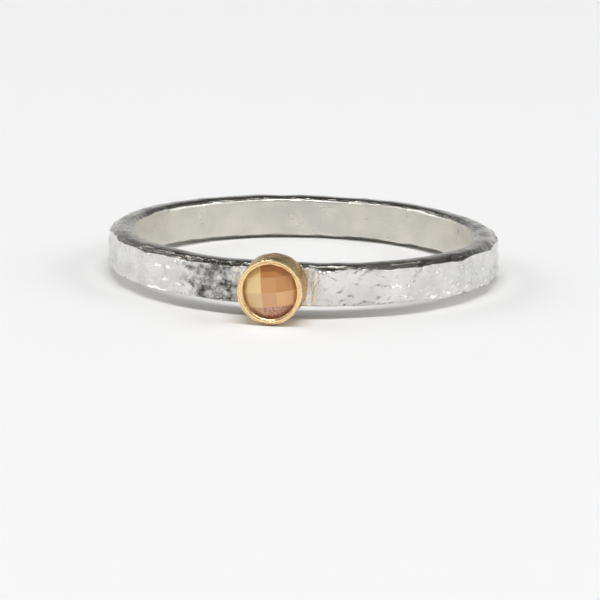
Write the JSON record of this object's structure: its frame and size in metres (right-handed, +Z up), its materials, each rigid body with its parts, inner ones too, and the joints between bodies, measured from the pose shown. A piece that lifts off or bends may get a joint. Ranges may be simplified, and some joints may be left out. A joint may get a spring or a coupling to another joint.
{
  "type": "stackable ring",
  "caption": "Narrow hammered silver finger ring for stacking, with one small round peach stone in a raised gold cup.",
  "frame": {"origin": "on the surface the ring rests on, under the middle of its bounding box", "axes": "+Z up, along the bore apart from the 2 degree tilt at which the ring rests; the stone faces -Y; +X to the right of someone facing the stone"},
  "size_m": [0.0198, 0.0216, 0.0034],
  "materials": {
    "silver": "hammered sterling silver, bright outside with fine creases, satin bore",
    "gold": "hand-burnished yellow gold",
    "peach_stone": "polished peach-brown gemstone, checkerboard cut"
  },
  "bodies": {
    "root": {"band": "silver", "bezel_cup": "gold", "stone": "peach_stone"}
  },
  "joints": []
}
